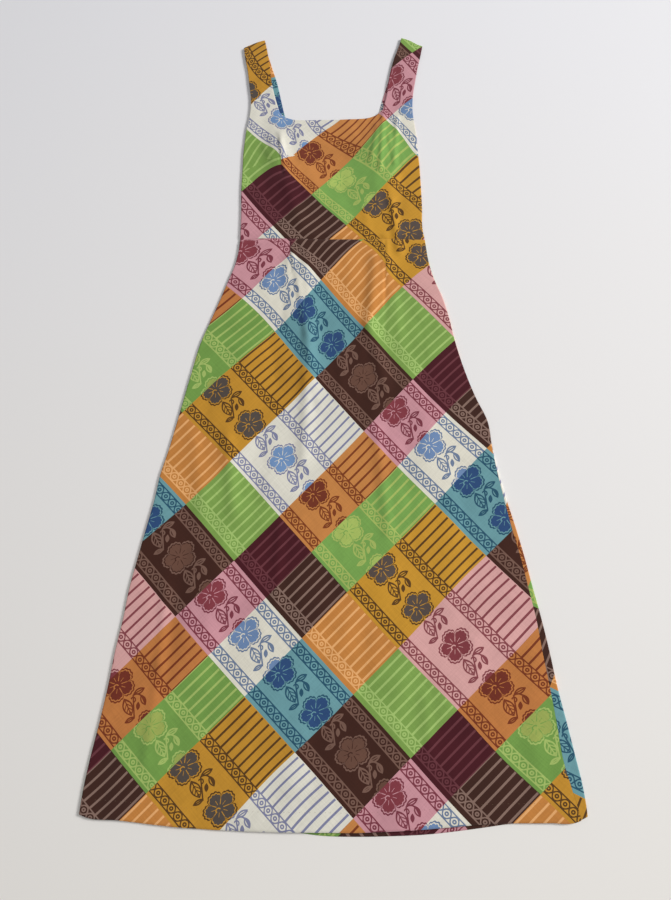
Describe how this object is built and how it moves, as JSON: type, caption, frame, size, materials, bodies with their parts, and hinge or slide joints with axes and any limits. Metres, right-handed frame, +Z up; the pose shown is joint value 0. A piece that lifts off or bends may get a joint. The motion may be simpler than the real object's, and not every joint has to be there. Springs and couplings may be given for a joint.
{
  "type": "sleeveless maxi sundress with wide shoulder straps, laid flat",
  "caption": "Long sleeveless sundress laid flat: square neck, wide straps cut in one with the bodice, seamed waist and an A-line skirt in a bias check weave.",
  "frame": {"origin": "middle of the outline on the surface that the dress lies on", "axes": "+X to the right of the dress as it is seen from above, +Y towards the shoulders, +Z up from the surface"},
  "size_m": [0.7876, 1.4479, 0.0128],
  "materials": {
    "front_bodice": "woven check, matt",
    "back_bodice": "woven check, matt",
    "front_skirt": "woven check, matt",
    "back_skirt": "woven check, matt"
  },
  "bodies": {
    "root": {"front_bodice": "front_bodice", "back_bodice": "back_bodice", "front_skirt": "front_skirt", "back_skirt": "back_skirt"}
  },
  "joints": []
}
